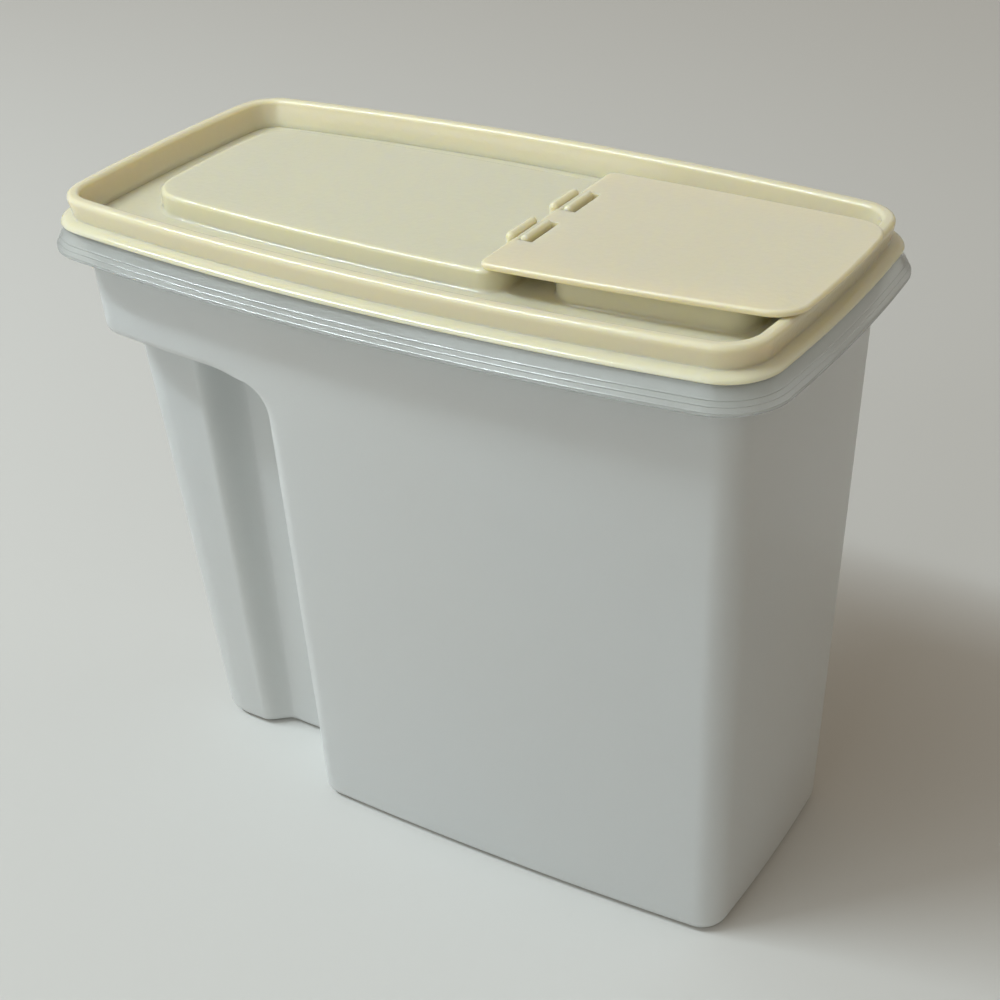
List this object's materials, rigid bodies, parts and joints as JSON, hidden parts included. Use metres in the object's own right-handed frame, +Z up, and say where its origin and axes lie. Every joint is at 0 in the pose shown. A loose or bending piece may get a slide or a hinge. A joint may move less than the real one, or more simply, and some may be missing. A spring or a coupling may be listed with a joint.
{
  "type": "cereal keeper",
  "caption": "Drafted plastic keeper with a grip post at one end, a snap-over lid with a raised platform, and a hinged cap over a pouring spout.",
  "frame": {"origin": "middle of the base, on the surface that the container stands on", "axes": "+Z up, +X along the length towards the spout, +Y across the width"},
  "size_m": [0.233, 0.1204, 0.2004],
  "materials": {
    "container_plastic": "milky translucent polypropylene, satin moulded",
    "lid_plastic": "almond polyethylene, semi-gloss moulded",
    "cap_plastic": "almond polypropylene, semi-gloss moulded"
  },
  "bodies": {
    "container": {"container": "container_plastic"},
    "lid": {"lid": "lid_plastic"},
    "flip_cap": {"flip_cap": "cap_plastic"}
  },
  "joints": [
    {"name": "lid_lift", "type": "slide", "parent": "container", "child": "lid", "axis": [0, 0, 1], "range_m": [0, 0.06]},
    {"name": "cap_hinge", "type": "hinge", "parent": "lid", "child": "flip_cap", "pos_m": [0.0276, 0, 0.19795], "axis": [0, -1, 0], "range_deg": [0, 170]}
  ]
}
